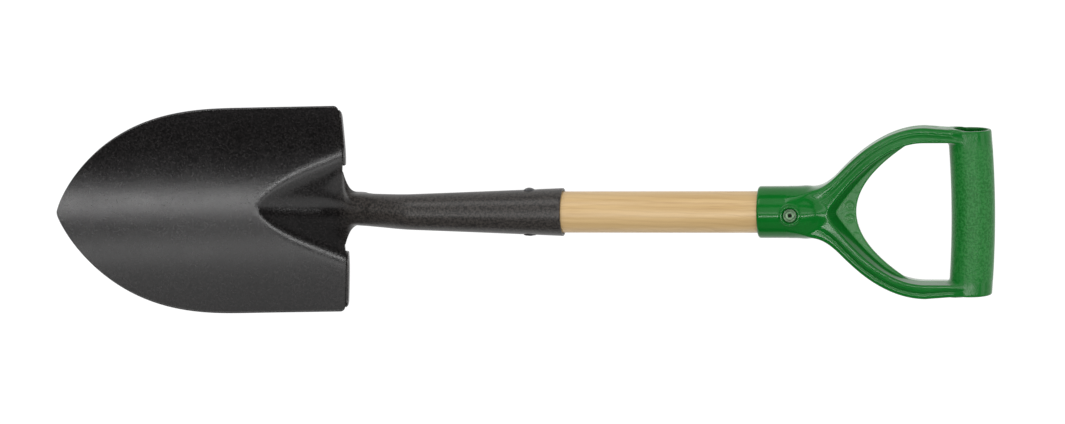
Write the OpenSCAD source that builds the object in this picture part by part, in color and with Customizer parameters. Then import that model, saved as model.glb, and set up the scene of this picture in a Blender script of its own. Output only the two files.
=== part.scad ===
// Short garden spade: a pressed steel blade with a rolled socket, a round wooden shaft and a
// one-piece moulded D-handle, held together by two rivets.
//
// The spade lies on its back. X runs from the tip of the blade to the grip, Y is to the left of
// someone looking along X, and Z is up, out of the hollow face of the blade.
// Inside the modules x = 0 is the tip and z = 0 is the axis of the shaft; place() moves the
// finished pieces so that the origin is under the middle of the spade.

/* [Blade] */
// Greatest width of the blade
blade_width = 154; // [140:1:166]
// Length of the blade from its tip to the treads
blade_length = 218; // [205:1:230]
// Length of the rounded point, from the tip to where the sides run straight
point_length = 140; // [125:1:155]
// Thickness of the sheet
sheet = 1.8; // [1.5:0.1:2.2]
// Depth of the hollow across the width
dish = 12.3; // [8:0.1:15]
// Height of the tip above the axis of the shaft
tip_rise = 4; // [0:0.5:8]
// Depth of the heel of the blade below the axis of the shaft
heel_drop = 26.4; // [22:0.1:30]
// Height of the treads, turned up from the heel
tread_height = 6.6; // [5:0.1:10]

/* [Socket] */
// Distance from the tip to the mouth of the socket
socket_end = 384; // [370:1:400]
// Outer diameter at the mouth of the socket
mouth_d = 34.9; // [34.6:0.1:36]
// Outer diameter at the neck
neck_d = 24.3; // [23:0.1:25]
// Depth of the neck's axis below the axis of the shaft
neck_drop = 10; // [8:0.5:12]
// Width of the open seam along the back of the socket
seam = 1.6; // [1:0.1:3]

/* [Shaft] */
// Diameter of the shaft
shaft_d = 30; // [29:0.1:30]

/* [Handle] */
// Distance from the tip to the lower edge of the collar
collar_start = 526; // [500:1:540]
// Outer diameter of the collar
collar_d = 37.4; // [36:0.1:40]
// Greatest width across the two arms
handle_width = 123.4; // [114:0.1:128]
// Thickness of each arm, across its run
arm = 12; // [10:0.1:13]
// Depth of the arms, front to back
arm_depth = 26; // [20:0.5:28]
// Diameter of the hand grip
grip_d = 30.6; // [29:0.1:33]
// Length of the hand grip
grip_length = 118; // [110:1:119]
// Diameter of the hollow core in each end of the grip
core_d = 24; // [20:0.1:25]
// Depth of each core
core_depth = 50; // [40:1:52]

/* [Rivets] */
// Diameter of both rivet shanks
rivet_d = 5; // [4:0.1:6]
// Distance from the tip to the socket rivet
socket_rivet_x = 359; // [345:1:365]
// Distance from the lower edge of the collar to the handle rivet
handle_rivet_step = 24; // [20:1:28]
// Diameter of the heads and washers
washer_d = 9.5; // [8.5:0.1:10]

/* [Hidden] */
$fn = 64;

steel_black = [0.22, 0.215, 0.22];
wood_pale = [0.80, 0.67, 0.46];
plastic_green = [0.06, 0.40, 0.13];
rivet_dark = [0.24, 0.24, 0.25];
rivet_grey = [0.42, 0.52, 0.40];

// ---- Blade: one sheet, worked out as a grid of points on its middle surface ----

half_width = blade_width / 2;
heel_radius = 2.5;                             // middle radius of the bend into a tread
heel_x = blade_length - sheet / 2 - heel_radius;
corner_radius = 3.5;                           // rounding of the two rear corners
point_offset = 0.1;                            // keeps the tip blunt
point_curve = 2.6;                             // how fast the point widens
point_power = 0.75;                            // how full the rounded point is
heel_sag = 1.6;                                // bow of the centre line below a straight line
frog_start = 150;                              // nose of the raised frog
frog_width = 50;                               // half-width of the frog at the heel
frog_power = 0.55;                             // how blunt its nose is
frog_climb = 0.75;                             // how steeply its nose leaves the blade
frog_lift = 0.7;                               // share of its height gained along the blade
frog_turn = 198;                               // the crown turns up to the neck from here
frog_top = 245;                                // and has reached the neck here
frog_round = 3;                                // how softly its flanks meet the blade
notch_half = 34;                               // half-distance between the inner ends of the treads
neck_half = 29.5;                               // half-width of the sheet that forms the neck
leg_half = 14;                                 // half-width of the neck's lower edges
leg_x = heel_x + 14;                           // end of the fillet between heel and neck
neck_x = 240;                                  // where the neck has reached its full height
closed_x = 250;                                // where the socket closes into a tube
curl_start = leg_x - 5;                        // where the lower edges start to curl in
bend_start = 232;                              // the neck bends up to the shaft from here
bend_end = 272;                                // and runs straight from here
leg_drop = heel_drop - 6;                      // depth of the neck's lower edges

// Grid: rows run from the tip to the heel, then on along the neck and the treads.
rows_blade = 24;
rows_neck = 16;
rows_socket = 6;
rows_bend = 4;
rows_tread = rows_bend + 2;
row_last = rows_blade + rows_neck + rows_socket;
cols_neck = 12;                                // columns each side that carry on into the neck
cols_notch = 2;                                // columns between the neck and a tread
cols_tread = 6;
col_tread = cols_neck + cols_notch;
col_last = col_tread + cols_tread;
cols_all = 2 * col_last + 1;

function clamp01(t) = max(0, min(1, t));
function ease(t) = let (c = clamp01(t)) c * c * (3 - 2 * c);
function mix(a, b, t) = a + (b - a) * t;

// Half-width of the blade outline at x
function outline(x) =
    let (
        t = clamp01((x + point_offset) / (point_length + point_offset)),
        into_corner = max(0, x - (heel_x - corner_radius)),
        corner = corner_radius - sqrt(max(0, pow(corner_radius, 2) - pow(into_corner, 2)))
    )
    half_width * pow(1 - pow(1 - t, point_curve), point_power) - corner;

// Height of the plain dished blade, without the frog
function dished(x, y) =
    let (t = x / (blade_length - 1))
    mix(tip_rise, -heel_drop, t) - 4 * heel_sag * t * (1 - t) + dish * pow(y / half_width, 2);

// Middle radius of the socket wall
function tube_radius(x) =
    let (t = clamp01((x - neck_x) / (socket_end - neck_x)))
    (mix(neck_d, mouth_d, pow(t, 1.1)) - sheet) / 2;

// Depth of the neck's axis below the shaft's
function neck_bend(x) = neck_drop * ease((bend_end - x) / (bend_end - bend_start));

// Height of the crown of the frog and neck
function crown(x) =
    let (t = clamp01((x - frog_start) / (neck_x - frog_start)))
    mix(
        dished(x, 0),
        tube_radius(x) - neck_bend(x),
        frog_lift * pow(t, frog_climb) + (1 - frog_lift) * ease((x - frog_turn) / (frog_top - frog_turn))
    );

// Height that the frog adds to the dished blade
function frog(x, y) =
    x <= frog_start ? 0 :
    let (
        t = (x - frog_start) / (heel_x - frog_start),
        reach = clamp01(abs(y) / (frog_width * pow(t, frog_power)))
    )
    (crown(x) - dished(x, 0)) * pow(cos(90 * reach), frog_round);

function blade_point(x, y) = [x, y, dished(x, y) + frog(x, y)];

// Sheet of the neck: a half round crown with a leg on each side, which curls in to close the tube.
// v runs from -1 at one lower edge to 1 at the other.
function tube_point(x, v) =
    let (
        r = tube_radius(x),
        centre = crown(x) - r,
        curl = ease((x - curl_start) / (closed_x - curl_start)),
        quarter = PI * r / 2,
        leg = mix(leg_drop + centre, quarter - seam / 2, curl),
        bend = mix(-0.006, 1 / r, curl),
        run = abs(v) * (quarter + leg),
        past = max(0, run - quarter),
        turned = past * bend * 180 / PI,
        side = v < 0 ? -1 : 1,
        y = run < quarter ? r * sin(run / r * 180 / PI) : r - (1 - cos(turned)) / bend,
        z = run < quarter ? r * cos(run / r * 180 / PI) : -sin(turned) / bend
    )
    [x, side * y, centre + z];

function neck_point(x, v) =
    let (
        t = clamp01((x - heel_x) / (leg_x - heel_x)),
        half = mix(leg_half, neck_half, pow(1 - t, 2.4))
    )
    mix(blade_point(x, v * half), tube_point(x, v), ease(t));

// Tread: the sheet bends up through a right angle and ends in a short straight lip
function tread_point(row, y) =
    let (
        foot = blade_point(heel_x, y),
        angle = 90 * min(1, row / rows_bend),
        lip = max(0, row - rows_bend) / (rows_tread - rows_bend) * (tread_height - heel_radius)
    )
    foot + [heel_radius * sin(angle), 0, heel_radius * (1 - cos(angle)) + lip];

// Distance of a column from the middle, where the blade has its full width
function column_y(col) =
    let (c = abs(col), side = col < 0 ? -1 : 1)
    side * (
        c <= cols_neck ? neck_half * c / cols_neck :
        c <= col_tread ? mix(neck_half, notch_half, (c - cols_neck) / cols_notch) :
        mix(notch_half, half_width, (c - col_tread) / cols_tread)
    );

// Rows are closest together at the tip and at the heel
function row_x(row) =
    row <= rows_blade ? heel_x * (1 - cos(180 * row / rows_blade)) / 2 :
    row <= rows_blade + rows_neck ? mix(heel_x, bend_end, (row - rows_blade) / rows_neck) :
    mix(bend_end, socket_end, (row - rows_blade - rows_neck) / rows_socket);

function used(row, col) =
    row >= 0 && abs(col) <= col_last && (
        row <= rows_blade ||
        (abs(col) <= cols_neck && row <= row_last) ||
        (abs(col) >= col_tread && row <= rows_blade + rows_tread)
    );

function sheet_point(row, col) =
    let (x = row_x(row), y = column_y(col) * outline(min(x, heel_x)) / half_width)
    row <= rows_blade ? blade_point(x, y) :
    abs(col) <= cols_neck ? neck_point(x, col / cols_neck) :
    tread_point(min(row - rows_blade, rows_tread), column_y(col) * outline(heel_x) / half_width);

middle = [for (row = [0 : row_last]) [for (col = [-col_last : col_last]) sheet_point(row, col)]];

function middle_at(row, col) = middle[row][col + col_last];
function unit(v) = v / max(norm(v), 1e-9);

// Direction out of the hollow face at one point of the grid
function facing(row, col) =
    let (
        along = middle_at(used(row + 1, col) ? row + 1 : row, col)
            - middle_at(used(row - 1, col) ? row - 1 : row, col),
        across = middle_at(row, used(row, col + 1) ? col + 1 : col)
            - middle_at(row, used(row, col - 1) ? col - 1 : col)
    )
    unit(cross(along, across));

normals = [
    for (row = [0 : row_last])
        [for (col = [-col_last : col_last]) used(row, col) ? facing(row, col) : [0, 0, 1]]
];

function side_points(offset) = [
    for (row = [0 : row_last], col = [-col_last : col_last])
        middle_at(row, col) + offset * normals[row][col + col_last]
];

sheet_points = concat(side_points(sheet / 2), side_points(-sheet / 2));
under = len(sheet_points) / 2;

function index(row, col) = row * cols_all + col + col_last;

// A cell is the patch between four neighbouring points
function cell(row, col) =
    used(row, col) && used(row + 1, col) && used(row, col + 1) && used(row + 1, col + 1)
    && (row < rows_blade || abs(col + 0.5) < cols_neck || abs(col + 0.5) > col_tread);

function wall(a, b) = [[a, b, b + under], [a, b + under, a + under]];

sheet_faces = [
    for (row = [0 : row_last - 1], col = [-col_last : col_last - 1])
        if (cell(row, col))
            let (
                a = index(row, col),
                b = index(row + 1, col),
                c = index(row + 1, col + 1),
                d = index(row, col + 1)
            )
            each concat(
                [[a, c, b], [a, d, c]],
                [[a + under, b + under, c + under], [a + under, c + under, d + under]],
                cell(row, col - 1) ? [] : wall(a, b),
                cell(row + 1, col) ? [] : wall(b, c),
                cell(row, col + 1) ? [] : wall(c, d),
                cell(row - 1, col) ? [] : wall(d, a)
            )
];

used_heights = [
    for (row = [0 : row_last], col = [-col_last : col_last], side = [0, under])
        if (used(row, col)) sheet_points[side + index(row, col)].z
];

// ---- Where everything sits ----

handle_length = 168;                           // from the collar's lower edge to the grip's far side
overall = collar_start + handle_length;
grip_r = grip_d / 2;
grip_x = overall - grip_r;                     // middle of the grip, where it bows out furthest
lowest = min(used_heights);
collar_r = collar_d / 2;
shaft_r = shaft_d / 2;
rivet_r = rivet_d / 2;
washer_r = washer_d / 2;
play = 0.1;                                    // gap around shanks and around the shaft
hole_r = rivet_r + play;
handle_rivet_x = collar_start + handle_rivet_step;
peen_r = rivet_r + 0.8;                        // a shank's end, spread over its washer
peen_height = 0.8;

// Puts a piece drawn from the tip of the blade into the spade's own frame
module place() {
    translate([-overall / 2, 0, -lowest])
        children();
}

// Turns a shape made along Z so that it runs along X
module along_x(x) {
    translate([x, 0, 0])
        rotate([0, 90, 0])
            children();
}

// Turns a shape made along Z so that it runs along Y
module along_y(x) {
    translate([x, 0, 0])
        rotate([-90, 0, 0])
            children();
}

// Low round head, from its flat underside at z = 0 up to its crown
module domed_head(r, height) {
    sphere_r = (r * r + height * height) / (2 * height);
    arc = [for (t = [0 : 0.25 : 1]) asin(r / sphere_r) * (1 - t)];
    rotate_extrude()
        polygon(concat(
            [[0, 0]],
            [for (a = arc) [sphere_r * sin(a), sphere_r * cos(a) - sphere_r + height]]
        ));
}

module washer(thickness) {
    difference() {
        cylinder(h = thickness, r = washer_r);
        translate([0, 0, -1])
            cylinder(h = thickness + 2, r = hole_r);
    }
}

// ---- Blade ----

seat_depth = 0.45;                             // flats pressed into the socket under the rivet
seat_y = tube_radius(socket_rivet_x) + sheet / 2 - seat_depth;
seat_r = washer_r + 0.15;

module blade() {
    color(steel_black)
        place()
            difference() {
                polyhedron(sheet_points, sheet_faces, convexity = 8);
                along_y(socket_rivet_x)
                    cylinder(h = 2 * mouth_d, r = hole_r, center = true);
                for (side = [0, 1])
                    mirror([0, side, 0])
                        along_y(socket_rivet_x)
                            translate([0, 0, seat_y])
                                cylinder(h = mouth_d / 2, r = seat_r);
            }
}

// ---- Shaft ----

shaft_start = bend_end + 4;
shaft_end = collar_start + 34;
taper_end = socket_end - 13;
taper_r = tube_radius(shaft_start) - sheet / 2 - 0.25;
shaft_chamfer = 1.5;

module shaft() {
    color(wood_pale)
        place()
            difference() {
                along_x(0)
                    rotate_extrude()
                        polygon([
                            [0, shaft_start],
                            [taper_r - shaft_chamfer, shaft_start],
                            [taper_r, shaft_start + shaft_chamfer],
                            [shaft_r, taper_end],
                            [shaft_r, shaft_end - shaft_chamfer],
                            [shaft_r - shaft_chamfer, shaft_end],
                            [0, shaft_end]
                        ]);
                along_y(socket_rivet_x)
                    cylinder(h = 2 * shaft_d, r = hole_r, center = true);
                translate([handle_rivet_x, 0, 0])
                    cylinder(h = 2 * shaft_d, r = hole_r, center = true);
            }
}

// ---- Handle: collar, two arms, the web between them and the grip, moulded in one ----

handle_half = handle_width / 2;
arm_crest_x = collar_start + 119;              // where the arms are furthest apart
arm_bow = 0.0088;                              // bow of the arms, per millimetre
arm_blend = 11.6;                              // width of the soft step from collar to arm
arm_taper = 0.08;                              // how fast the arms draw in towards the grip
fork_x = collar_start + 32;                    // the arms start inside the collar
crotch_x = collar_start + 47.5;                // inner corner between the arms
arm_stop = grip_x - 2;
arm_step = 4;
arm_layers = [                                 // inset of the outline, depth of the layer
    [0, arm_depth - 9],
    [1.4, arm_depth - 4],
    [3.2, arm_depth]
];
web_x = collar_start + 70;                     // middle of the free edge of the web
web_bow = 0.0156;                              // bow of that edge, per millimetre
web_reach = 45;
web_thick = 4;
collar_length = 46;
collar_round = 2;
boss_r = 7.55;
boss_recess_r = 5.5;
boss_chamfer = 0.8;
boss_top = collar_r + 0.8;
boss_floor = collar_r - 1.7;
grip_bow = 2.4;                                // how far the grip bows out at its middle
grip_bow_r = (pow(grip_length / 2, 2) + pow(grip_bow, 2)) / (2 * grip_bow);
grip_angle = 2 * asin(grip_length / 2 / grip_bow_r);
core_x = grip_x - grip_bow * 0.6;

// Larger of two lengths, with a soft step where they cross
function soft_max(a, b, width) =
    let (h = clamp01(0.5 + 0.5 * (a - b) / width))
    mix(b, a, h) + width * h * (1 - h);

function arm_curve(x) =
    x > arm_crest_x ? handle_half - arm_taper * (x - arm_crest_x) :
    handle_half - arm_bow * pow(arm_crest_x - x, 2);

// Outer half-width of the fork
function arm_outer(x) = soft_max(collar_r, arm_curve(x), arm_blend);

// Inner half-width of the fork
function arm_inner(x) =
    let (slope = 2 * arm_bow * max(0, arm_crest_x - x))
    max(0, arm_curve(min(x, arm_crest_x)) - arm * sqrt(1 + slope * slope));

// Half of the fork, with its edges drawn in by inset
module arm_outline(inset) {
    outer = [for (x = [fork_x : arm_step : arm_stop]) [x, arm_outer(x) - inset]];
    inner = [for (x = [arm_stop : -arm_step : crotch_x + 4]) [x, arm_inner(x) + inset]];
    polygon(concat([[fork_x, 0]], outer, inner, [[crotch_x - inset, 0]]));
}

module arms() {
    for (side = [0, 1], layer = arm_layers)
        mirror([0, side, 0])
            linear_extrude(height = layer[1], center = true)
                arm_outline(layer[0]);
}

// Thin crescent that fills the crotch at half depth
module web() {
    edge = [for (y = [-web_reach : 5 : web_reach]) [web_x + web_bow * y * y, y]];
    linear_extrude(height = web_thick, center = true)
        polygon(concat([[crotch_x - 6, 0]], edge));
}

module collar() {
    round_end = [for (a = [0 : 15 : 90]) [
        collar_r - collar_round * (1 - sin(a)),
        collar_round * (1 - cos(a))
    ]];
    along_x(collar_start)
        rotate_extrude()
            polygon(concat([[0, 0]], round_end, [[collar_r, collar_length], [0, collar_length]]));
}

// Raised ring around each end of the handle rivet
module boss() {
    translate([handle_rivet_x, 0, 0])
        rotate_extrude()
            polygon([
                [0, 0],
                [boss_r, 0],
                [boss_r, boss_top - boss_chamfer],
                [boss_r - boss_chamfer, boss_top],
                [0, boss_top]
            ]);
}

module grip() {
    translate([grip_x - grip_bow_r, 0, 0])
        rotate([0, 0, -grip_angle / 2])
            rotate_extrude(angle = grip_angle, $fn = 1440)
                translate([grip_bow_r, 0])
                    circle(r = grip_r, $fn = 64);
}

module handle() {
    color(plastic_green)
        place()
            difference() {
                union() {
                    collar();
                    boss();
                    mirror([0, 0, 1])
                        boss();
                    arms();
                    web();
                    grip();
                }
                along_x(collar_start - 1)
                    cylinder(h = shaft_end - collar_start + 2, r = shaft_r + play);
                translate([handle_rivet_x, 0, 0])
                    cylinder(h = 2 * collar_d, r = hole_r, center = true);
                for (side = [0, 1]) {
                    mirror([0, 0, side])
                        translate([handle_rivet_x, 0, boss_floor])
                            cylinder(h = collar_r, r = boss_recess_r);
                    mirror([0, side, 0])
                        along_y(core_x)
                            translate([0, 0, grip_length / 2 - core_depth])
                                cylinder(h = core_depth + 10, r = core_d / 2);
                }
            }
}

// ---- Rivets ----

socket_washer_thick = 0.8;
socket_head_height = 1.95;
handle_washer_thick = 1;
handle_head_height = 1.6;
tube_bore_r = 1.25;                            // bore in the end of the handle rivet
tube_bore_depth = 9;

module socket_rivet() {
    shank_end = seat_y + socket_washer_thick;
    color(rivet_dark)
        place()
            along_y(socket_rivet_x)
                union() {
                    translate([0, 0, -shank_end])
                        cylinder(h = shank_end + seat_y, r = rivet_r);
                    translate([0, 0, seat_y])
                        domed_head(washer_r - 0.4, socket_head_height);
                    translate([0, 0, -shank_end])
                        mirror([0, 0, 1])
                            domed_head(peen_r, peen_height);
                }
}

module socket_rivet_washer() {
    color(rivet_dark)
        place()
            along_y(socket_rivet_x)
                translate([0, 0, -seat_y - socket_washer_thick])
                    washer(socket_washer_thick);
}

module handle_rivet() {
    shank_end = boss_floor + handle_washer_thick;
    color(rivet_grey)
        place()
            translate([handle_rivet_x, 0, 0])
                difference() {
                    union() {
                        translate([0, 0, -boss_floor])
                            cylinder(h = boss_floor + shank_end, r = rivet_r);
                        translate([0, 0, shank_end])
                            cylinder(h = peen_height, r = peen_r);
                        translate([0, 0, -boss_floor])
                            mirror([0, 0, 1])
                                domed_head(washer_r, handle_head_height);
                    }
                    translate([0, 0, shank_end + peen_height - tube_bore_depth])
                        cylinder(h = tube_bore_depth + 1, r = tube_bore_r);
                }
}

module handle_rivet_washer() {
    color(rivet_grey)
        place()
            translate([handle_rivet_x, 0, boss_floor])
                washer(handle_washer_thick);
}

blade();
shaft();
handle();
socket_rivet();
socket_rivet_washer();
handle_rivet();
handle_rivet_washer();
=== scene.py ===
"""Looks of the short garden spade: blade, shaft, D-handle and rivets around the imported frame.

Shapes are worked out in millimetres from the tip of the blade (x), the middle plane (y) and the
axis of the shaft (z), then placed in the row frame by to_row().
"""

import math

import bpy
import numpy as np
from mathutils import Matrix, Vector


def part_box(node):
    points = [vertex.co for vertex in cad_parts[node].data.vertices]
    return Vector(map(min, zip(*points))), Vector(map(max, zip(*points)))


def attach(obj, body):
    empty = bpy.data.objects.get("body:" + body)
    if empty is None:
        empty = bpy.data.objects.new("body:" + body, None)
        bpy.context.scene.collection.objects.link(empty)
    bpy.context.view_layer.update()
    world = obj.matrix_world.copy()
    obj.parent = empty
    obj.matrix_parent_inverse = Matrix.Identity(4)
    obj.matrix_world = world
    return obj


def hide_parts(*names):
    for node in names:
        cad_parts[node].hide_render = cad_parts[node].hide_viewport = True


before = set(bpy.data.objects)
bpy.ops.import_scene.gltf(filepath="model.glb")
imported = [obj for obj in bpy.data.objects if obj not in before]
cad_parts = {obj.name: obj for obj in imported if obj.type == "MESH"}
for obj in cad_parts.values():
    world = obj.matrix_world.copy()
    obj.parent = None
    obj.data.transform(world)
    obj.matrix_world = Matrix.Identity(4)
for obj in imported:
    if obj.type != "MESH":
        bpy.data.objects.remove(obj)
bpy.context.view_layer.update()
MM = 0.001

# ---------------------------------------------------------------- places taken from the frame

blade_lo, blade_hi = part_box("blade")
shaft_lo, shaft_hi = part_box("shaft")
handle_lo, handle_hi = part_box("handle")
socket_rivet_lo, socket_rivet_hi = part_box("socket_rivet")
handle_rivet_lo, handle_rivet_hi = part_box("handle_rivet")

TIP_X = blade_lo.x + 0.15 * MM                 # the sheet's rounded edge starts a little before it
AXIS_Z = (shaft_lo.z + shaft_hi.z) / 2


def from_tip(x):
    """Distance from the tip of the blade, in millimetres, of a place on the row's X axis."""
    return (x - TIP_X) / MM


def to_row(points):
    """Row-frame metres from millimetres counted from the tip and the shaft's axis."""
    return np.asarray(points, float) * MM + np.array([TIP_X, 0.0, AXIS_Z])


# ---------------------------------------------------------------- small helpers

def clamp01(t):
    return np.clip(t, 0.0, 1.0)


def ease(t):
    c = clamp01(t)
    return c * c * (3 - 2 * c)


def mix(a, b, t):
    return a + (b - a) * t


def soft_max(a, b, width):
    """Larger of two values, with a rounded step of about width / 4 where they cross."""
    h = clamp01(0.5 + 0.5 * (a - b) / width)
    return mix(b, a, h) + width * h * (1 - h)


def soft_min(a, b, width):
    return -soft_max(-a, -b, width)


def make_mesh(name, points, faces, smooth=True):
    """New object from row-frame points and faces of any size."""
    mesh = bpy.data.meshes.new(name)
    mesh.from_pydata([tuple(p) for p in points], [], [tuple(f) for f in faces])
    mesh.validate()
    mesh.update()
    if smooth:
        mesh.polygons.foreach_set("use_smooth", [True] * len(mesh.polygons))
    obj = bpy.data.objects.new(name, mesh)
    bpy.context.scene.collection.objects.link(obj)
    return obj


def place(obj, material, slot, *nodes):
    """Gives a piece its material, and lets it stand for its CAD nodes on the one rigid body."""
    obj.data.materials.clear()
    obj.data.materials.append(material)
    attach(obj, "root")
    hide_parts(*nodes)
    return obj


def lathe(name, profile, turn, centre, closed=False, segments=96):
    """Solid of revolution. profile is (radius, height) pairs from pole to pole, or a closed loop."""
    rings = []
    points = []
    for radius, height in profile:
        if radius < 1e-6:
            rings.append([len(points)])
            points.append((0.0, 0.0, height))
            continue
        rings.append(list(range(len(points), len(points) + segments)))
        for k in range(segments):
            a = 2 * math.pi * k / segments
            points.append((radius * math.cos(a), radius * math.sin(a), height))
    faces = []
    pairs = list(zip(rings, rings[1:]))
    if closed:
        pairs.append((rings[-1], rings[0]))
    for low, high in pairs:
        for k in range(segments):
            n = (k + 1) % segments
            if len(low) == 1 and len(high) > 1:
                faces.append((low[0], high[n], high[k]))
            elif len(high) == 1 and len(low) > 1:
                faces.append((low[k], low[n], high[0]))
            elif len(low) > 1:
                faces.append((low[k], low[n], high[n], high[k]))
    turned = [turn @ Vector(p) + Vector(centre) for p in points]
    return make_mesh(name, to_row(turned), faces)


# ---------------------------------------------------------------- blade: one pressed sheet

SHEET = 1.8                                    # thickness of the steel
SOCKET_END = from_tip(blade_hi.x) - 0.1
BLADE_LENGTH, HALF_WIDTH = 218.0, 77.0
POINT_LENGTH, POINT_OFFSET = 140.0, 0.1        # the round point, and its start before the tip
POINT_CURVE, POINT_POWER = 2.6, 0.75           # how the point widens
HEEL_RADIUS = 2.5                              # middle radius of the bend into a tread
HEEL_X = BLADE_LENGTH - SHEET / 2 - HEEL_RADIUS
TREAD_HEIGHT, TREAD_END = 6.6, 5.0
CORNER_RADIUS = 3.5
TIP_RISE, HEEL_DROP, HEEL_SAG, DISH = 4.0, 26.4, 1.6, 12.3  # heights that shape the dish
FROG_START, FROG_WIDTH, FROG_POWER, FROG_CLIMB = 150.0, 50.0, 0.55, 0.75
FROG_LIFT, FROG_TURN, FROG_TOP, FROG_ROUND = 0.7, 198.0, 245.0, 3
NOTCH_HALF, NECK_HALF, LEG_HALF = 34.0, 29.5, 14.0  # half-widths where treads, neck and legs start
LEG_X, NECK_X, CLOSED_X = HEEL_X + 14.0, 240.0, 250.0
CURL_START = LEG_X - 5
NECK_DROP, BEND_START, BEND_END = 10.0, 232.0, 272.0
LEG_DROP = HEEL_DROP - 6
NECK_D, MOUTH_D, SEAM = 24.3, 34.9, 1.6        # socket diameters, and the gap along its back
RIM = 0.35                                     # rounding of the sheet's cut edges
EDGE_TURNS = (60, 30, 0, -30, -60)             # steps round a cut edge, in degrees
EDGE_FULLNESS = 0.7                            # below 1, the edge is squarer than a half round
LEG_SPLAY = -0.006                             # bow of the neck's legs where they still stand open
NECK_FILLET = 2.4                              # how quickly the fillet narrows to the neck
CORNER_TREAD = 0.02                            # share of its size that a tread keeps at the corner

socket_rivet_x = from_tip((socket_rivet_lo.x + socket_rivet_hi.x) / 2)
SEAT_Y = 15.997                                # the flats pressed into the socket for the rivet
SEAT_R, SEAT_EDGE = 4.9, 1.6                   # their radius, and the width of their soft edge
SEAT_LOWEST_Y = 8                              # no point nearer the middle plane is pressed


def outline(x):
    """Half-width of the blade."""
    t = clamp01((x + POINT_OFFSET) / (POINT_LENGTH + POINT_OFFSET))
    into_corner = np.maximum(0, x - (HEEL_X - CORNER_RADIUS))
    corner = CORNER_RADIUS - np.sqrt(np.maximum(0, CORNER_RADIUS**2 - into_corner**2))
    return HALF_WIDTH * (1 - (1 - t) ** POINT_CURVE) ** POINT_POWER - corner


def dished(x, y):
    """Height of the blade without its frog."""
    t = x / (BLADE_LENGTH - 1)
    bow = mix(TIP_RISE, -HEEL_DROP, t) - 4 * HEEL_SAG * t * (1 - t)
    return bow + DISH * (y / HALF_WIDTH) ** 2


def tube_radius(x):
    t = clamp01((x - NECK_X) / (SOCKET_END - NECK_X))
    return (mix(NECK_D, MOUTH_D, t**1.1) - SHEET) / 2


def crown(x):
    """Height of the top of the frog and neck, which lies lower than the socket's straight part."""
    t = clamp01((x - FROG_START) / (NECK_X - FROG_START))
    bend = NECK_DROP * ease((BEND_END - x) / (BEND_END - BEND_START))
    rise = FROG_LIFT * t**FROG_CLIMB + (1 - FROG_LIFT) * ease((x - FROG_TURN) / (FROG_TOP - FROG_TURN))
    return mix(dished(x, 0), tube_radius(x) - bend, rise)


def frog(x, y):
    """Height that the frog adds to the dish."""
    t = np.maximum((x - FROG_START) / (HEEL_X - FROG_START), 1e-6)
    reach = clamp01(np.abs(y) / (FROG_WIDTH * t**FROG_POWER))
    height = (crown(x) - dished(x, 0)) * np.cos(reach * np.pi / 2) ** FROG_ROUND
    return np.where(x <= FROG_START, 0, height)


def blade_point(x, y):
    x, y = np.broadcast_arrays(np.asarray(x, float), np.asarray(y, float))
    return np.stack([x, y, dished(x, y) + frog(x, y)], axis=-1)


def tube_point(x, v):
    """Sheet of the neck and socket; v runs from -1 at one lower edge to 1 at the other."""
    r = tube_radius(x)
    centre = crown(x) - r
    curl = ease((x - CURL_START) / (CLOSED_X - CURL_START))
    quarter = np.pi * r / 2
    leg = mix(LEG_DROP + centre, quarter - SEAM / 2, curl)
    bend = mix(LEG_SPLAY, 1 / r, curl)
    bend = np.where(np.abs(bend) < 1e-4, 1e-4, bend)  # a straight leg would divide by zero
    run = np.abs(v) * (quarter + leg)
    turned = np.maximum(0, run - quarter) * bend
    y = np.where(run < quarter, r * np.sin(run / r), r - (1 - np.cos(turned)) / bend)
    z = np.where(run < quarter, r * np.cos(run / r), -np.sin(turned) / bend)
    return np.stack([x, np.sign(v) * y, centre + z], axis=-1)


def neck_point(x, v):
    x, v = np.broadcast_arrays(np.asarray(x, float), np.asarray(v, float))
    t = clamp01((x - HEEL_X) / (LEG_X - HEEL_X))
    half = mix(LEG_HALF, NECK_HALF, (1 - t) ** NECK_FILLET)
    return mix(blade_point(x, v * half), tube_point(x, v), ease(t)[..., None])


def tread_point(angle, lip, y):
    """Sheet of a tread, which dies away into the blade's rear corner."""
    foot = blade_point(HEEL_X, y)
    from_corner = clamp01((outline(HEEL_X) - np.abs(y)) / TREAD_END)
    size = mix(CORNER_TREAD, 1, np.sqrt(1 - (1 - from_corner) ** 2))
    rise = HEEL_RADIUS * (1 - math.cos(angle)) + lip * (TREAD_HEIGHT - HEEL_RADIUS)
    return foot + size[:, None] * np.array([HEEL_RADIUS * math.sin(angle), 0, rise])


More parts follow.
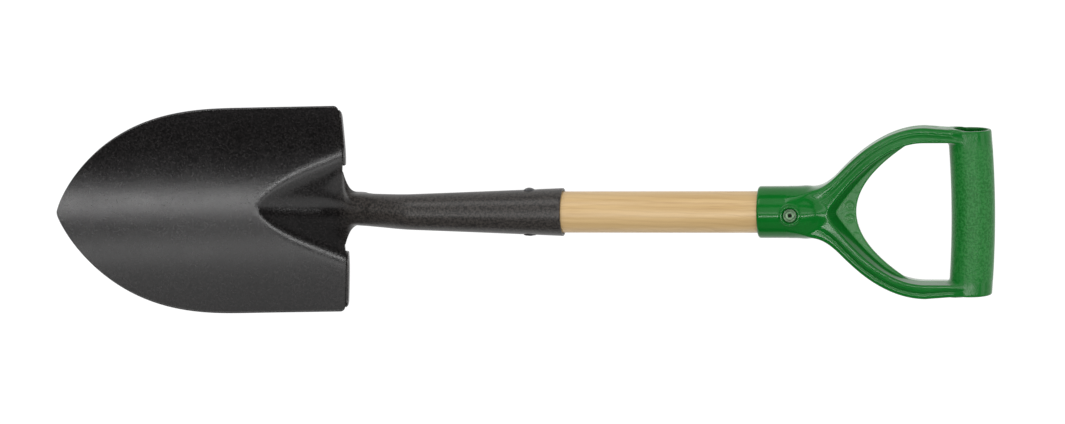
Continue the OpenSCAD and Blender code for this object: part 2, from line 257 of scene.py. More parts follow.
def sheet_grid():
    """Points and quads of the sheet's middle surface, joined into one mesh."""
    rows_blade, rows_neck, rows_socket, rows_bend, rows_lip = 110, 56, 56, 8, 4
    cols_neck, cols_notch, cols_tread = 26, 6, 26
    last = cols_neck + cols_notch + cols_tread
    c = np.arange(0, last + 1)
    side = np.select(
        [c <= cols_neck, c <= cols_neck + cols_notch],
        [NECK_HALF * c / cols_neck, mix(NECK_HALF, NOTCH_HALF, (c - cols_neck) / cols_notch)],
        mix(NOTCH_HALF, HALF_WIDTH, (c - cols_neck - cols_notch) / cols_tread),
    )
    across = np.concatenate([-side[:0:-1], side]) / HALF_WIDTH
    points, faces = [], []

    def add(block):
        start = sum(len(b) for b in points)
        points.append(block.reshape(-1, 3))
        return start + np.arange(block.shape[0] * block.shape[1]).reshape(block.shape[:2])

    def quads(ids):
        faces.extend(
            np.stack([ids[:-1, :-1], ids[1:, :-1], ids[1:, 1:], ids[:-1, 1:]], -1).reshape(-1, 4)
        )

    turn = np.linspace(0, np.pi, rows_blade + 1)
    x = HEEL_X * (1 - np.cos(turn)) / 2
    body = add(blade_point(x[:, None], across[None, :] * outline(x)[:, None]))
    quads(body)

    x = np.concatenate([
        np.linspace(HEEL_X, BEND_END, rows_neck + 1)[1:],
        np.linspace(BEND_END, SOCKET_END, rows_socket + 1)[1:],
    ])
    v = np.arange(-cols_neck, cols_neck + 1) / cols_neck
    neck = add(neck_point(x[:, None], v[None, :]))
    quads(np.concatenate([body[-1:, last - cols_neck:last + cols_neck + 1], neck]))

    y = across * outline(HEEL_X)
    steps = [(math.pi / 2 * k / rows_bend, 0) for k in range(1, rows_bend + 1)]
    steps += [(math.pi / 2, k / rows_lip) for k in range(1, rows_lip + 1)]
    for cols in (slice(0, cols_tread + 1), slice(2 * last - cols_tread, 2 * last + 1)):
        tread = add(np.stack([tread_point(angle, lip, y[cols]) for angle, lip in steps]))
        quads(np.concatenate([body[-1:, cols], tread]))
    return np.concatenate(points), np.array(faces)


def face_normals(points, faces):
    first, second, third, fourth = (points[faces[:, k]] for k in range(4))
    return np.cross(third - first, fourth - second)


def unit(v):
    return v / np.maximum(np.linalg.norm(v, axis=-1, keepdims=True), 1e-12)


def thicken(points, faces, thickness, rim):
    """Gives a sheet its thickness, with rounded edges. Returns points and faces."""
    normals = np.zeros_like(points)
    for corner in range(4):
        np.add.at(normals, faces[:, corner], face_normals(points, faces))
    normals = unit(normals)
    edges = np.concatenate([faces[:, [a, (a + 1) % 4]] for a in range(4)])
    seen = {(a, b) for a, b in edges.tolist()}
    border = [(a, b) for a, b in edges.tolist() if (b, a) not in seen]
    outward = np.zeros_like(points)
    for a, b in border:
        e = np.cross(points[b] - points[a], (normals[a] + normals[b]) / 2)
        outward[a] += e
        outward[b] += e
    outward = unit(outward)
    edge_ids = sorted({i for pair in border for i in pair})
    count = len(points)
    shrunk = points.copy()
    shrunk[edge_ids] -= rim * outward[edge_ids]
    half = thickness / 2
    layers = [shrunk + half * normals, shrunk - half * normals]
    out = np.concatenate(layers)
    all_faces = [tuple(f) for f in faces.tolist()]
    all_faces += [tuple(i + count for i in reversed(f)) for f in faces.tolist()]
    turns = [math.radians(a) for a in EDGE_TURNS]
    ring_of = {}
    extra = []
    for i in edge_ids:
        ids = [i]
        for a in turns:
            ids.append(2 * count + len(extra))
            level = half * math.copysign(abs(math.sin(a)) ** EDGE_FULLNESS, a)
            extra.append(shrunk[i] + outward[i] * rim * math.cos(a) + normals[i] * level)
        ids.append(i + count)
        ring_of[i] = ids
    for a, b in border:
        for k in range(len(turns) + 1):
            all_faces.append((ring_of[a][k], ring_of[a][k + 1], ring_of[b][k + 1], ring_of[b][k]))
    return np.concatenate([out, np.array(extra)]), all_faces


def press_rivet_seats(points):
    """Flattens the socket wall a little under the rivet's head and washer."""
    away = np.hypot(points[:, 0] - socket_rivet_x, points[:, 2])
    outer = tube_radius(socket_rivet_x) + SHEET / 2
    sink = np.maximum(0, np.sqrt(np.maximum(outer**2 - points[:, 2] ** 2, 0)) - SEAT_Y)
    push = sink * (1 - ease((away - SEAT_R + SEAT_EDGE / 4) / SEAT_EDGE))
    on_flank = np.abs(points[:, 1]) > SEAT_LOWEST_Y
    points[:, 1] -= np.sign(points[:, 1]) * np.where(on_flank, push, 0)
    return points


def make_blade():
    points, faces = sheet_grid()
    points, faces = thicken(points, faces, SHEET, RIM)
    return make_mesh("blade_sheet", to_row(press_rivet_seats(points)), faces)


# ---------------------------------------------------------------- solids as distance fields

def round_and(a, b, radius):
    """Intersection of two fields, its outer corner rounded."""
    corner = np.hypot(np.maximum(a + radius, 0), np.maximum(b + radius, 0))
    return np.minimum(np.maximum(a, b), -radius) + corner


def round_or(a, b, radius):
    """Union of two fields, its inner corner filleted."""
    corner = np.hypot(np.maximum(radius - a, 0), np.maximum(radius - b, 0))
    return np.maximum(np.minimum(a, b), radius) - corner


def surface_net(field, low, high, step):
    """Quad mesh of the surface where field is zero, drawn onto that surface."""
    sizes = [int(math.ceil((h - l) / step)) + 1 for l, h in zip(low, high)]
    axes = [l + step * np.arange(n) for l, n in zip(low, sizes)]
    f = field(*np.meshgrid(*axes, indexing="ij", sparse=True)).astype(np.float32)
    inside = f < 0
    shape = np.array(f.shape)
    total = int(shape.prod())
    sums, hits = np.zeros((total, 3)), np.zeros(total)
    corners = []
    for axis in range(3):
        u, v = [a for a in range(3) if a != axis]
        near = [slice(None)] * 3
        far = [slice(None)] * 3
        near[axis], far[axis] = slice(None, -1), slice(1, None)
        change = inside[tuple(near)] != inside[tuple(far)]
        at = np.argwhere(change)
        fa, fb = f[tuple(near)][change], f[tuple(far)][change]
        place_on = at.astype(float)
        place_on[:, axis] += fa / (fa - fb)
        ring = []
        for du, dv in ((1, 1), (0, 1), (0, 0), (1, 0)):
            cell = at.copy()
            cell[:, u] -= du
            cell[:, v] -= dv
            ids = np.ravel_multi_index(cell.T, shape)
            for k in range(3):
                sums[:, k] += np.bincount(ids, place_on[:, k], total)
            hits += np.bincount(ids, minlength=total)
            ring.append(ids)
        quad = np.stack(ring, -1)
        flip = inside[tuple(near)][change] == (axis == 1)
        quad[flip] = quad[flip][:, ::-1]
        corners.append(quad)
    quads = np.concatenate(corners)
    used = np.flatnonzero(hits)
    number = np.zeros(total, int)
    number[used] = np.arange(len(used))
    points = np.array(low) + step * sums[used] / hits[used][:, None]
    nudge = 0.15 * step
    for _ in range(3):
        value = field(*points.T)
        slope = np.stack([
            (field(*(points + offset).T) - field(*(points - offset).T)) / (2 * nudge)
            for offset in nudge * np.eye(3)
        ], -1)
        move = -value[:, None] * slope / np.maximum((slope**2).sum(-1, keepdims=True), 0.25)
        far = np.linalg.norm(move, axis=-1, keepdims=True)
        points += move * np.minimum(1, 0.4 * step / np.maximum(far, 1e-9))
    return points, number[quads]


# ---------------------------------------------------------------- handle: one green moulding

COLLAR_START = from_tip(handle_lo.x)
COLLAR_R = 18.7
COLLAR_BORE_R, COLLAR_BORE_END = 15.1, COLLAR_START + 35
HANDLE_RIVET_X = from_tip((handle_rivet_lo.x + handle_rivet_hi.x) / 2)
BOSS_R, BOSS_RECESS_R, BOSS_TOP, BOSS_FLOOR = 7.4, 5.5, COLLAR_R + 0.8, COLLAR_R - 1.7
GRIP_R, GRIP_HALF, GRIP_BOW = 15.3, 59.0, 2.4
GRIP_X = from_tip(handle_hi.x) - GRIP_R
CORE_R, CORE_X, CORE_INNER = 12.0, GRIP_X - 0.6 * GRIP_BOW, 9.0
ARM_HALF, ARM_CREST_X, ARM_BOW, ARM_TAPER = 61.7, COLLAR_START + 119, 0.0088, 0.08
ARM, ARM_DEPTH = 12.0, 13.0
FORK_X, CROTCH_X = COLLAR_START + 22, COLLAR_START + 47.5
WEB_X, WEB_BOW, WEB_HALF = COLLAR_START + 70, 0.0156, 2.0
CORE_EDGE, COLLAR_EDGE, COLLAR_INNER_EDGE = 0.6, 2.0, 3.0
BORE_EDGE, RECESS_EDGE, BOSS_EDGE, CROTCH_EDGE = 0.5, 0.35, 0.8, 0.6
NOSE_START, NOSE_RUN, NOSE_DROP = COLLAR_START + 33, 20, 6.8
COLLAR_END = COLLAR_START + 53
FORK_EDGE, FORK_START_DEPTH, FORK_DEPTH_RUN = 1.3, 2.4, 28
RIB_INSET, RIB_STEP, RIB_WIDTH = 4.7, 1.25, 1.3
GROOVE_INSET, GROOVE_DEPTH, GROOVE_WIDTH = 4.4, 0.45, 0.7
WALL_LEAN_LOW, WALL_LEAN_HIGH = 5.8, 0.9       # how far the walls of the crotch lean in
THROAT_BLEND = 11.6                            # how softly the fork leaves the collar
FACE_X, FACE_START_HALF = COLLAR_START + 21, 10.7  # where the fork's flat front face starts
FACE_SLOPE, FACE_GROWTH = 0.25, 0.008
MARK_R = 2.4                                   # round marks left on the web by the mould's pins
MARKS = ((-4.5, 4.5, 1.0), (0.0, 17.5, 0.45))  # their x on the web, distance from the middle, depth
DOT_X, DOT_R, DOT_DEPTH = -9.7, 0.5, 0.3       # small mark in the middle of the web
GATE_X, GATE_Y, GATE_R = 3.2, -1.0, 1.3        # scar of the mould's gate on the grip
RIVET_HOLE_R, BOSS_FOOT = 2.6, 12              # the boss starts at this height, inside the collar
HANDLE_STEP, GRID_SHIFT = 0.8, 0.31            # the shift keeps grid planes off the flat faces
FIELD_EDGE = 2                                 # room around the handle in the grid


def arm_curve(x):
    before = np.maximum(ARM_CREST_X - x, 0)
    after = np.maximum(x - ARM_CREST_X, 0)
    return ARM_HALF - ARM_BOW * before**2 - ARM_TAPER * after


def arm_slope(x):
    return 2 * ARM_BOW * np.maximum(ARM_CREST_X - x, 0)


def arm_outer(x):
    """Half-width of the fork at half depth."""
    start = COLLAR_R - 0.2 - 2.0 * (1 - ease((x - COLLAR_START - 26) / 12))
    return soft_max(start, arm_curve(x), THROAT_BLEND)


def face_edge(x):
    """Half-width of the fork's front face, which starts narrow on the collar."""
    run = x - FACE_X
    half = FACE_START_HALF + FACE_SLOPE * run + FACE_GROWTH * run**2
    return soft_min(half, arm_outer(x) - 0.3, 4)


def collar_field(x, y, z):
    nose = ease((x - NOSE_START) / NOSE_RUN)
    barrel = np.hypot(y, z) - (COLLAR_R - NOSE_DROP * nose)
    body = round_and(barrel, COLLAR_START - x, COLLAR_EDGE)
    return round_and(body, x - COLLAR_END, COLLAR_INNER_EDGE)


def fork_field(x, y, z):
    ay, az = np.abs(y), np.abs(z)
    lean = np.sqrt(1 + np.minimum(arm_slope(x), 1.3) ** 2)
    depth = ARM_DEPTH + FORK_START_DEPTH * (1 - ease((x - FORK_X) / FORK_DEPTH_RUN))
    edge = face_edge(x)
    level = clamp01(az / depth)
    side = mix(arm_outer(x), edge - 0.6, level**2.4)
    inward = (edge - ay) / lean
    ridge = ease((x - COLLAR_START - 40) / 18)
    outer_band = 1 - ease((inward - RIB_INSET) / RIB_WIDTH)
    groove = np.exp(-(((inward - GROOVE_INSET) / GROOVE_WIDTH) ** 2))
    fall = 0.05 * np.maximum(10 - inward, 0)
    drop = ridge * (RIB_STEP * outer_band + GROOVE_DEPTH * groove + fall)
    top = az - depth + drop
    return round_and(round_and(top, (ay - side) / lean, FORK_EDGE), FORK_X - x, 1.0)


def crotch_field(x, y, z):
    """Negative outside the hollow between the arms. Its walls lean in towards the web."""
    slope = arm_slope(x)
    lean = np.sqrt(1 + slope**2)
    inner = arm_curve(np.minimum(x, ARM_CREST_X)) - ARM * lean
    lean_in = mix(WALL_LEAN_LOW, WALL_LEAN_HIGH, ease((x - COLLAR_START - 60) / 50))
    inner = inner - lean_in * (1 - clamp01(np.abs(z) / ARM_DEPTH)) * lean
    inner = np.where(x > GRIP_X, 200.0, inner)     # past the grip nothing is left to cut off
    return (inner - np.hypot(y, 2.5) + 1.2) / np.minimum(lean, 1.8)


def ejector_mark(x, y, mark_x, mark_y):
    """Depth of a pair of round marks, one on each side of the middle."""
    away = np.hypot(x - mark_x, np.abs(y) - mark_y)
    ring = 0.6 * np.exp(-(((away - MARK_R) / 0.55) ** 2))
    return ring + 0.2 * (1 - ease((away - MARK_R + 0.4) / 0.6))


def web_field(x, y, z):
    marks = sum(depth * ejector_mark(x, y, WEB_X + at, side) for at, side, depth in MARKS)
    marks = marks + DOT_DEPTH * np.exp(-(np.hypot(x - WEB_X - DOT_X, y) / DOT_R) ** 2)
    flat = np.abs(z) - WEB_HALF + np.where(z > 0, marks, 0)
    edge = (x - WEB_X - WEB_BOW * y * y) / np.sqrt(1 + (2 * WEB_BOW * y) ** 2)
    plate = round_and(flat, edge, 0.7)
    return np.maximum(np.maximum(plate, CROTCH_X - 6 - x), np.abs(y) - arm_curve(x))


def grip_field(x, y, z):
    middle = GRIP_X - GRIP_BOW * (y / GRIP_HALF) ** 2
    radius = np.hypot(x - middle, z) - GRIP_R
    gate = np.hypot(x - GRIP_X - GATE_X, y - GATE_Y)
    stub = np.where(z > 0, 0.18 * np.exp(-(((gate - GATE_R) / 0.4) ** 2)), 0)
    return round_and(radius + stub, np.abs(y) - GRIP_HALF, 1.0)


def handle_field(x, y, z):
    ay, az = np.abs(y), np.abs(z)
    fork = round_and(fork_field(x, y, z), x - GRIP_X + 5, 2.0)
    body = round_or(collar_field(x, y, z), fork, 2.0)
    body = round_and(body, crotch_field(x, y, z), CROTCH_EDGE)
    body = round_or(body, web_field(x, y, z), 0.7)
    body = round_or(body, grip_field(x, y, z), 2.6)
    around_rivet = np.hypot(x - HANDLE_RIVET_X, y)
    ring = round_and(around_rivet - BOSS_R, az - BOSS_TOP, BOSS_EDGE)
    body = round_or(body, np.maximum(ring, BOSS_FOOT - az), 0.9)
    recess = np.maximum(around_rivet - BOSS_RECESS_R, BOSS_FLOOR - az)
    body = round_and(body, -recess, RECESS_EDGE)
    body = np.maximum(body, RIVET_HOLE_R - around_rivet)
    bore = np.maximum(np.hypot(y, z) - COLLAR_BORE_R, x - COLLAR_BORE_END)
    body = round_and(body, -bore, BORE_EDGE)
    core = np.maximum(np.hypot(x - CORE_X, z) - CORE_R, CORE_INNER - ay)
    return round_and(body, -core, CORE_EDGE)


def make_handle():
    room = FIELD_EDGE
    low = np.array([COLLAR_START - room, -ARM_HALF - room - 1, -BOSS_TOP - room]) + GRID_SHIFT
    high = (GRIP_X + GRIP_R + room, ARM_HALF + room + 1, BOSS_TOP + room)
    points, faces = surface_net(handle_field, low, high, HANDLE_STEP)
    return make_mesh("handle_moulding", to_row(points), faces)


# ---------------------------------------------------------------- shaft and rivets

SHANK_R, RIVET_HEAD_R, WASHER_HOLE_R = 2.5, 4.75, 2.6
TUBE_BORE_R, HANDLE_WASHER_THICK = 1.25, 1.0

ALONG_X = Matrix.Rotation(math.radians(90), 3, "Y")
ALONG_Y = Matrix.Rotation(math.radians(-90), 3, "X")
ALONG_Z = Matrix.Identity(3)


def dome(r, height, base, up=1, steps=10):
    """Profile of a low round head, from its rim to its crown."""
    sphere = (r * r + height * height) / (2 * height)
    turns = np.linspace(math.asin(r / sphere), 0, steps)
    return [(sphere * math.sin(a), base + up * (sphere * math.cos(a) - sphere + height)) for a in turns]


def make_shaft():
    start, end = from_tip(shaft_lo.x), from_tip(shaft_hi.x)
    r = (shaft_hi.y - shaft_lo.y) / 2 / MM
    gap, chamfer = 0.25, 1.5                   # gap between the shaft's front end and the socket
    taper_end, taper_r = SOCKET_END - 13, tube_radius(start) - SHEET / 2 - gap
    taper_start = start + chamfer
    profile = [(0, start), (taper_r - chamfer, start), (taper_r - 0.3, start + 0.5)]
    profile += [
        (mix(taper_r, r, t), mix(taper_start, taper_end, t)) for t in np.linspace(0, 1, 12)
    ]
    profile += [(r, x) for x in np.linspace(taper_end, end - chamfer, 24)[1:]]
    profile += [(r - 0.4, end - 0.4), (r - chamfer, end), (0, end)]
    return lathe("shaft_wood", profile, ALONG_X, (0, 0, 0), segments=128)


def make_socket_rivet():
    head, tail = 4.35, SEAT_Y + 0.8
    profile = dome(3.3, 0.8, -tail, up=-1)[::-1]
    profile += [(SHANK_R, -tail), (SHANK_R, SEAT_Y), (head - 0.15, SEAT_Y), (head, SEAT_Y + 0.12)]
    profile += dome(head - 0.02, 1.78, SEAT_Y + 0.17)
    return lathe("socket_rivet_head", profile, ALONG_Y, (socket_rivet_x, 0, 0))


def make_socket_washer():
    hole, rim, thick, edge = WASHER_HOLE_R, RIVET_HEAD_R, 0.8, 0.25
    back, front = -SEAT_Y - thick, -SEAT_Y
    profile = [(hole, front), (hole, back), (rim - edge, back), (rim, back + edge), (rim, front)]
    return lathe("socket_rivet_burr", profile, ALONG_Y, (socket_rivet_x, 0, 0), closed=True)


def make_handle_rivet():
    top = BOSS_FLOOR + HANDLE_WASHER_THICK
    bore_floor = top - 2.6
    profile = dome(RIVET_HEAD_R, 1.6, -BOSS_FLOOR, up=-1)[::-1]
    profile += [(SHANK_R, -BOSS_FLOOR), (SHANK_R, top), (3.1, top)]
    profile += [(3.3, top + 0.15), (3.3, top + 0.4), (3.05, top + 0.68), (2.6, top + 0.8)]
    profile += [(1.95, top + 0.76), (1.5, top + 0.6), (TUBE_BORE_R, top + 0.25)]
    profile += [(TUBE_BORE_R, bore_floor), (0, bore_floor)]
    return lathe("handle_rivet_tube", profile, ALONG_Z, (HANDLE_RIVET_X, 0, 0))


def make_handle_washer():
    hole, rim = WASHER_HOLE_R, RIVET_HEAD_R
    low, high = BOSS_FLOOR, BOSS_FLOOR + HANDLE_WASHER_THICK
    profile = [(hole, high), (hole, low), (rim - 0.15, low), (rim, low + 0.15), (rim, high - 0.25)]
    profile += [(rim - 0.2, high - 0.05), (rim - 0.45, high), (4.05, high), (3.95, high - 0.18)]
    profile += [(3.6, high - 0.18), (3.5, high)]
    return lathe("handle_rivet_disc", profile, ALONG_Z, (HANDLE_RIVET_X, 0, 0), closed=True)


# ---------------------------------------------------------------- materials

class Nodes:
    """One material's node tree, with short calls for the nodes used here."""

    def __init__(self, name):
        self.material = bpy.data.materials.new(name)
        self.material.use_nodes = True
        self.tree = self.material.node_tree
        self.shader = self.tree.nodes["Principled BSDF"]
        self.place = self.tree.nodes.new("ShaderNodeTexCoord").outputs["Object"]

    def node(self, kind, inputs=(), **settings):
        made = self.tree.nodes.new("ShaderNode" + kind)
        for key, value in settings.items():
            setattr(made, key, value)
        for key, value in dict(inputs).items():
            if isinstance(value, bpy.types.NodeSocket):
                self.tree.links.new(value, made.inputs[key])
            else:
                made.inputs[key].default_value = value
        return made

    def noise(self, scale, stretch=(1, 1, 1), detail=3.0, rough=0.5):
        where = self.node("Mapping", {"Vector": self.place, "Scale": stretch}).outputs["Vector"]
        made = self.node("TexNoise", {
            "Vector": where, "Scale": scale, "Detail": detail, "Roughness": rough,
        })
        return made.outputs["Fac"]

    def math(self, operation, a, b=0.0):
        return self.node("Math", {0: a, 1: b}, operation=operation).outputs["Value"]

    def span(self, value, low, high, out_low=0.0, out_high=1.0):
        """Smooth step from out_low to out_high as value goes from low to high."""
        made = self.node("MapRange", {
            "Value": value, "From Min": low, "From Max": high, "To Min": out_low, "To Max": out_high,
        }, interpolation_type="SMOOTHSTEP")
        return made.outputs["Result"]

    def colours(self, factor, stops):
        made = self.node("ValToRGB", {"Fac": factor})
        ramp = made.color_ramp
        while len(ramp.elements) < len(stops):
            ramp.elements.new(0.5)
        for element, (position, colour) in zip(ramp.elements, stops):
            element.position = position
            element.color = (*colour, 1)
        return made.outputs["Color"]

    def blend(self, factor, a, b, how="MIX"):
        made = self.node("Mix", data_type="RGBA", blend_type=how)
        for key, value in ((0, factor), (6, a), (7, b)):
            if isinstance(value, bpy.types.NodeSocket):
                self.tree.links.new(value, made.inputs[key])
            else:
                made.inputs[key].default_value = value if key == 0 else (*value, 1)
        return made.outputs[2]

    def bump(self, height, distance, strength=1.0, under=None):
        inputs = {"Height": height, "Distance": distance, "Strength": strength}
        if under is not None:
            inputs["Normal"] = under
        return self.node("Bump", inputs).outputs["Normal"]

    def finish(self, **sockets):
        for key, value in sockets.items():
            socket = self.shader.inputs[key.replace("_", " ")]
            if isinstance(value, bpy.types.NodeSocket):
                self.tree.links.new(value, socket)
            else:
                socket.default_value = value
        return self.material


# Colours are linear red, green and blue. Lengths in a node tree are metres of the row frame.
PAINT_DARK, PAINT_LIGHT = (0.0040, 0.0034, 0.0034), (0.0056, 0.0049, 0.0050)
# the socket's paint colour is painted light: it is lighter to stand in for light the neck and socket
# would catch from a broader surround
PAINT_SOCKET_PAINTED_LIGHT, PAINT_GRAIN = (0.0215, 0.0185, 0.0165), (0.012, 0.011, 0.011)
WOOD_TONES = (
    (0.30, (0.476, 0.309, 0.126)),
    (0.50, (0.544, 0.367, 0.163)),
    (0.72, (0.598, 0.422, 0.211)),
)
WOOD_RING, WOOD_FIBRE = (0.408, 0.252, 0.099), (0.381, 0.224, 0.082)
WOOD_PALE = (0.612, 0.442, 0.231)
GREEN_DARK, GREEN_LIGHT = (0.0015, 0.108, 0.0100), (0.0030, 0.124, 0.0140)
# the web's colour is a painted sheen: a paler green standing in for light reflected off its flat faces
GREEN_WEB_SHEEN, GREEN_PEBBLE = (0.075, 0.260, 0.085), (0.018, 0.165, 0.030)
BORE_SHADE = (0.001, 0.002, 0.001)
BORE_SHADE_R = 0.0014                          # a little wider than the rivet's bore
SOCKET_FADE = 0.026                            # run over which the paint turns rougher, and its colour is painted lighter to stand in for light from a broader surround
PEBBLE_START, PEBBLE_FULL = 0.019, 0.013       # where the grip's pebbling fades in, before its axis
PEBBLE_FULL_Y, PEBBLE_END_Y = 0.044, 0.052     # and where it weakens towards the grip's ends
WEB_FACE_LOW, WEB_FACE_HIGH = 0.0021, 0.0026   # heights between which the painted sheen on the web's flat faces fades out


def black_paint():
    n = Nodes("black_satin_paint")
    cloud = n.noise(14, detail=4)
    grain = n.noise(900, detail=2)
    along = n.node("SeparateXYZ", {"Vector": n.place}).outputs["X"]
    neck_start = TIP_X + (HEEL_X - 8) * MM
    on_socket = n.span(along, neck_start, neck_start + SOCKET_FADE)
    base = n.blend(n.span(cloud, 0.3, 0.7), PAINT_DARK, PAINT_LIGHT)
    # painted light: the neck and socket get a lighter base colour in place of light from a broader
    # surround
    base = n.blend(on_socket, base, PAINT_SOCKET_PAINTED_LIGHT)
    base = n.blend(n.span(grain, 0.55, 0.75), base, PAINT_GRAIN)
    rough = n.span(n.noise(45, detail=5), 0.3, 0.7, 0.205, 0.23)
    rough = n.math("ADD", rough, n.math("MULTIPLY", on_socket, 0.17))
    peel = n.bump(n.noise(260, detail=1), 0.00004, 0.4)
    fine = n.bump(grain, 0.00005, 0.5, peel)
    speckle = n.noise(620, detail=2, rough=0.6)
    base = n.blend(1.0, base, n.span(speckle, 0.35, 0.65, 0.45, 2.0), "MULTIPLY")
    rough = n.math("ADD", rough, n.span(speckle, 0.35, 0.65, -0.025, 0.025))
    return n.finish(Base_Color=base, Roughness=rough, Normal=fine, Specular_IOR_Level=0.35)


def pale_wood():
    n = Nodes("pale_shaft_wood")
    warp = n.noise(1, stretch=(9, 60, 60), detail=2)
    off_centre = n.node("Mapping", {
        "Vector": n.place, "Location": (0.0, 0.017, -0.036), "Rotation": (0, 0.02, 0.035),
    }).outputs["Vector"]
    rings = n.node("TexWave", {
        "Vector": off_centre, "Scale": 88.0, "Distortion": 5.0,
        "Detail": 2.0, "Detail Scale": 0.35, "Detail Roughness": 0.5,
    }, wave_type="RINGS", rings_direction="X").outputs["Fac"]
    fibre = n.noise(1, stretch=(26, 900, 900), detail=3, rough=0.6)
    streak = n.noise(1, stretch=(5, 170, 170), detail=3, rough=0.55)
    tone = n.colours(streak, WOOD_TONES)
    tone = n.blend(n.span(rings, 0.55, 0.95, 0.0, 0.35), tone, WOOD_RING)
    tone = n.blend(n.span(fibre, 0.56, 0.72, 0.0, 0.45), tone, WOOD_FIBRE)
    tone = n.blend(n.span(warp, 0.35, 0.65, 0.0, 0.25), tone, WOOD_PALE)
    rough = n.span(fibre, 0.4, 0.7, 0.36, 0.50)
    normal = n.bump(fibre, 0.00012, 0.5)
    return n.finish(
        Base_Color=tone, Roughness=rough, Normal=normal, Coat_Weight=0.15, Coat_Roughness=0.25,
    )


def green_plastic():
    n = Nodes("green_moulded_plastic")
    apart = n.node("SeparateXYZ", {"Vector": n.place})
    x, y, z = (apart.outputs[k] for k in "XYZ")
    grip_row_x = TIP_X + GRIP_X * MM
    on_grip = n.span(x, grip_row_x - PEBBLE_START, grip_row_x - PEBBLE_FULL)
    off_ends = n.span(n.math("ABSOLUTE", y), PEBBLE_FULL_Y, PEBBLE_END_Y, 1.0, 0.25)
    on_grip = n.math("MULTIPLY", on_grip, off_ends)
    web_low = TIP_X + (CROTCH_X + 2) * MM
    height = n.math("ABSOLUTE", n.math("SUBTRACT", z, AXIS_Z))
    past_crotch = n.span(x, web_low, web_low + 0.001)
    on_web = n.math("MULTIPLY", n.span(height, WEB_FACE_HIGH, WEB_FACE_LOW), past_crotch)
    cloud = n.noise(22, detail=3)
    base = n.blend(n.span(cloud, 0.3, 0.7), GREEN_DARK, GREEN_LIGHT)
    # painted sheen: paler green on the web's flat faces in place of reflected light
    base = n.blend(n.math("MULTIPLY", on_web, 0.35), base, GREEN_WEB_SHEEN)
    pebble = n.noise(650, detail=2, rough=0.6)
    mottle = n.math("MULTIPLY", n.span(pebble, 0.40, 0.60), on_grip)
    base = n.blend(mottle, base, GREEN_PEBBLE)
    rough = n.span(n.noise(160, detail=4), 0.3, 0.7, 0.13, 0.17)
    rough = n.math("ADD", rough, n.math("MULTIPLY", on_grip, 0.22))
    rough = n.math("ADD", rough, n.math("MULTIPLY", on_web, 0.15))
    skin = n.bump(n.noise(190, detail=2), 0.00004, 0.35)
    texture = n.bump(n.math("MULTIPLY", pebble, on_grip), 0.00035, 0.8, skin)
    return n.finish(
        Base_Color=base, Roughness=rough, Normal=texture, Specular_IOR_Level=0.22,
        Subsurface_Weight=0.03, Subsurface_Scale=0.001,
    )


def rivet_steel(name, dark, light, rough_low, rough_high, metallic, bore=None):
    """Stained steel. bore is the radius of the dark spot in the middle of the handle rivet."""
    n = Nodes(name)
    stain = n.noise(420, detail=5, rough=0.65)
    base = n.blend(n.span(stain, 0.35, 0.65), dark, light)
    if bore is not None:
        apart = n.node("SeparateXYZ", {"Vector": n.place}).outputs
        along = n.math("SUBTRACT", apart["X"], TIP_X + HANDLE_RIVET_X * MM)
        squares = [n.math("POWER", part, 2.0) for part in (along, apart["Y"])]
        away = n.math("SQRT", n.math("ADD", *squares))
        base = n.blend(n.span(away, bore * 0.8, bore), BORE_SHADE, base)
    rough = n.span(n.noise(900, detail=3), 0.3, 0.7, rough_low, rough_high)
    normal = n.bump(n.noise(1400, detail=3), 0.00006, 0.5)
    return n.finish(Base_Color=base, Roughness=rough, Normal=normal, Metallic=metallic)


# ---------------------------------------------------------------- camera, floor and light

TARGET_X = 361.0                               # place on the shaft's axis at the picture's middle
CAMERA_TILT, CAMERA_ROLL = math.radians(10.25), math.radians(8.5)
CAMERA_DISTANCE, LENS, SENSOR = 2.184, 101.4, 36
FLOOR_HALF, FLOOR_GAP = 6.0, 0.4 * MM          # half-size of the floor, and its gap under the spade
FLOOR_GLOW, WORLD_GLOW = 0.97, 0.05
SOFT_BOXES = (                                 # name, radiance, size, distance, leans, middle
    ("key_strip", 20, (2.7, 0.09), 1.6, -10.6, 0, 0.55),
    ("near_strip", 3.6, (2.7, 0.14), 1.6, 3.5, 0, 0.55),
    ("broad", 1.35, (5.0, 0.85), 1.65, 14, 0, -0.6),
    ("upper_fill", 1.2, (3.2, 0.8), 1.6, 55, 0, -0.2),
    ("lower_fill", 0.3, (3.2, 0.9), 1.6, -52, 0, -0.2),
    ("left_side", 3.0, (0.5, 0.4), 0.95, 58, 0, -0.22),
    ("low_right", 2.0, (0.6, 1.2), 1.6, 0, 74, 0.0),
)


def make_camera():
    """Camera nearly straight above, leaning towards the handle and a little to +Y."""
    tilt, roll = CAMERA_TILT, CAMERA_ROLL
    right = Vector((math.cos(tilt), -math.sin(tilt) * math.sin(roll), -math.sin(tilt) * math.cos(roll)))
    up = Vector((0, math.cos(roll), -math.sin(roll)))
    back = right.cross(up)
    target = Vector(to_row((TARGET_X, 0, 0)))
    data = bpy.data.cameras.new("camera")
    data.lens, data.sensor_width = LENS, SENSOR
    camera = bpy.data.objects.new("camera", data)
    camera.matrix_world = Matrix.Translation(target + back * CAMERA_DISTANCE) @ Matrix(
        (right, up, back)
    ).transposed().to_4x4()
    bpy.context.scene.collection.objects.link(camera)
    bpy.context.scene.camera = camera


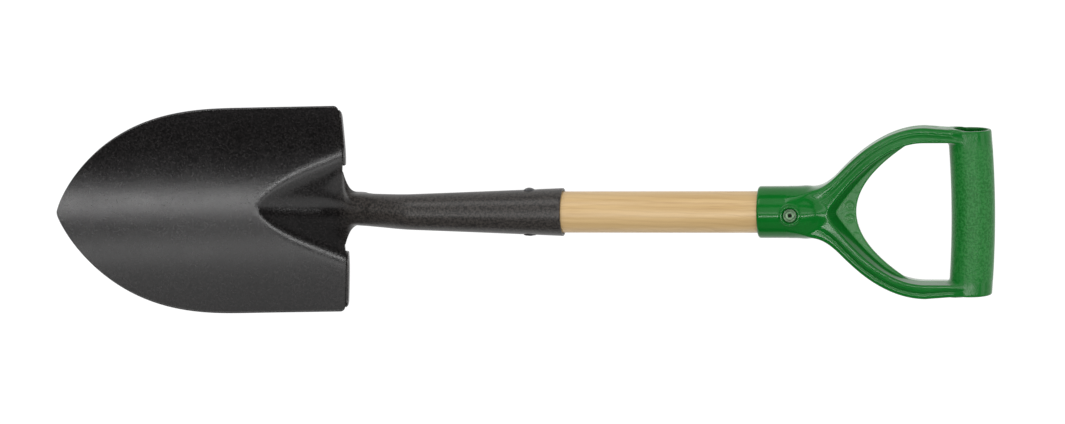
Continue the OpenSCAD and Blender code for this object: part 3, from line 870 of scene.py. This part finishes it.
def make_floor():
    corners = [(x * FLOOR_HALF, y * FLOOR_HALF, 0) for x, y in ((-1, -1), (1, -1), (1, 1), (-1, 1))]
    floor = make_mesh("floor", corners, [(0, 1, 2, 3)], smooth=False)
    floor.location.z = -FLOOR_GAP
    n = Nodes("pale_floor")
    shade = n.blend(n.span(n.noise(1.5), 0.3, 0.7), (0.10, 0.10, 0.10), (0.11, 0.11, 0.11))
    n.finish(
        Base_Color=shade, Roughness=0.9, Emission_Color=(1, 1, 1, 1), Emission_Strength=FLOOR_GLOW,
    )
    floor.data.materials.append(n.material)


def soft_box(name, radiance, size, distance, lean_y, lean_x, middle_x):
    """Area light aimed back from a leaning direction: lean_y towards +Y, lean_x towards +X."""
    data = bpy.data.lights.new(name, "AREA")
    data.shape, data.size, data.size_y = "RECTANGLE", size[0], size[1]
    data.energy = radiance * math.pi * size[0] * size[1]
    light = bpy.data.objects.new(name, data)
    lean = Matrix.Rotation(math.radians(-lean_y), 3, "X")
    turn = Matrix.Rotation(math.radians(lean_x), 3, "Y") @ lean
    place_at = Vector((middle_x, 0, 0)) + turn @ Vector((0, 0, distance))
    light.matrix_world = Matrix.Translation(place_at) @ turn.to_4x4()
    light.visible_camera = False
    bpy.context.scene.collection.objects.link(light)


def make_lights():
    world = bpy.data.worlds.new("studio")
    world.use_nodes = True
    background = world.node_tree.nodes["Background"]
    background.inputs["Color"].default_value = (1, 1, 1, 1)
    background.inputs["Strength"].default_value = WORLD_GLOW
    bpy.context.scene.world = world
    for light in SOFT_BOXES:
        soft_box(*light)


def main():
    make_camera()
    make_floor()
    make_lights()
    place(make_blade(), black_paint(), "blade_steel", "blade")
    place(make_shaft(), pale_wood(), "shaft_wood", "shaft")
    place(make_handle(), green_plastic(), "handle_plastic", "handle")
    dark_steel = rivet_steel(
        "painted_rivet", (0.012, 0.012, 0.013), (0.05, 0.05, 0.055), 0.25, 0.45, 0.0,
    )
    grey_steel = rivet_steel(
        "plated_rivet", (0.07, 0.13, 0.07), (0.16, 0.26, 0.15), 0.35, 0.55, 0.5, BORE_SHADE_R,
    )
    place(make_socket_rivet(), dark_steel, "socket_rivet_steel", "socket_rivet")
    place(make_socket_washer(), dark_steel, "socket_rivet_steel", "socket_rivet_washer")
    place(make_handle_rivet(), grey_steel, "handle_rivet_steel", "handle_rivet")
    place(make_handle_washer(), grey_steel, "handle_rivet_steel", "handle_rivet_washer")


bpy.context.scene.view_settings.view_transform = "Standard"
main()
